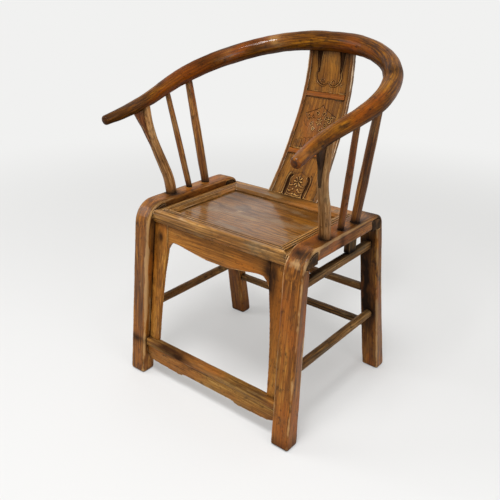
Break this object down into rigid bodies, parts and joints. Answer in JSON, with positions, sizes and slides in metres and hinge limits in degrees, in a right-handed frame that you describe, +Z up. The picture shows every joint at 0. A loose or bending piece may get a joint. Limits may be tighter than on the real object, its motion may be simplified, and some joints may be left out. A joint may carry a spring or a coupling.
{
  "type": "chinese armchair",
  "caption": "Horseshoe-back wooden armchair with bent side frames wrapped round the seat rails, a three-panel splat, spindles, goose-neck posts and an apron.",
  "frame": {"origin": "on the floor, under the middle of the chair's box", "axes": "+Z up, -Y to the front of the chair, +X to the right of someone looking at its front"},
  "size_m": [0.6344, 0.5962, 0.91],
  "materials": {
    "frame_wood": "worn waxed elm, golden brown, light where arrises are rubbed",
    "crest_wood": "hand-polished elm, dark amber",
    "upright_wood": "waxed elm, red brown",
    "seat_wood": "worn seat board, greyish pink brown in the middle, golden at its ends",
    "splat_wood": "waxed elm, golden brown, dark in the grooves",
    "stretcher_wood": "dull dark brown elm"
  },
  "bodies": {
    "root": {"left_bent_frame": "frame_wood", "right_bent_frame": "frame_wood", "front_seat_rail": "frame_wood", "rear_seat_rail": "frame_wood", "left_seat_side_member": "frame_wood", "right_seat_side_member": "frame_wood", "front_apron": "frame_wood", "left_side_strip": "frame_wood", "right_side_strip": "frame_wood", "foot_rail": "frame_wood", "foot_apron": "frame_wood", "crest_rail": "crest_wood", "left_front_post": "upright_wood", "right_front_post": "upright_wood", "left_middle_spindle": "upright_wood", "right_middle_spindle": "upright_wood", "left_rear_spindle": "upright_wood", "right_rear_spindle": "upright_wood", "left_wing_bracket": "upright_wood", "right_wing_bracket": "upright_wood", "seat_panel": "seat_wood", "left_splat_stile": "splat_wood", "right_splat_stile": "splat_wood", "splat_lower_panel": "splat_wood", "splat_lower_bead": "splat_wood", "splat_middle_panel": "splat_wood", "splat_upper_bead": "splat_wood", "splat_upper_panel": "splat_wood", "left_batten": "stretcher_wood", "right_batten": "stretcher_wood", "left_upper_side_stretcher": "stretcher_wood", "right_upper_side_stretcher": "stretcher_wood", "left_strut_block": "stretcher_wood", "right_strut_block": "stretcher_wood", "left_lower_side_stretcher": "stretcher_wood", "right_lower_side_stretcher": "stretcher_wood", "upper_rear_stretcher": "stretcher_wood", "lower_rear_stretcher": "stretcher_wood"}
  },
  "joints": []
}
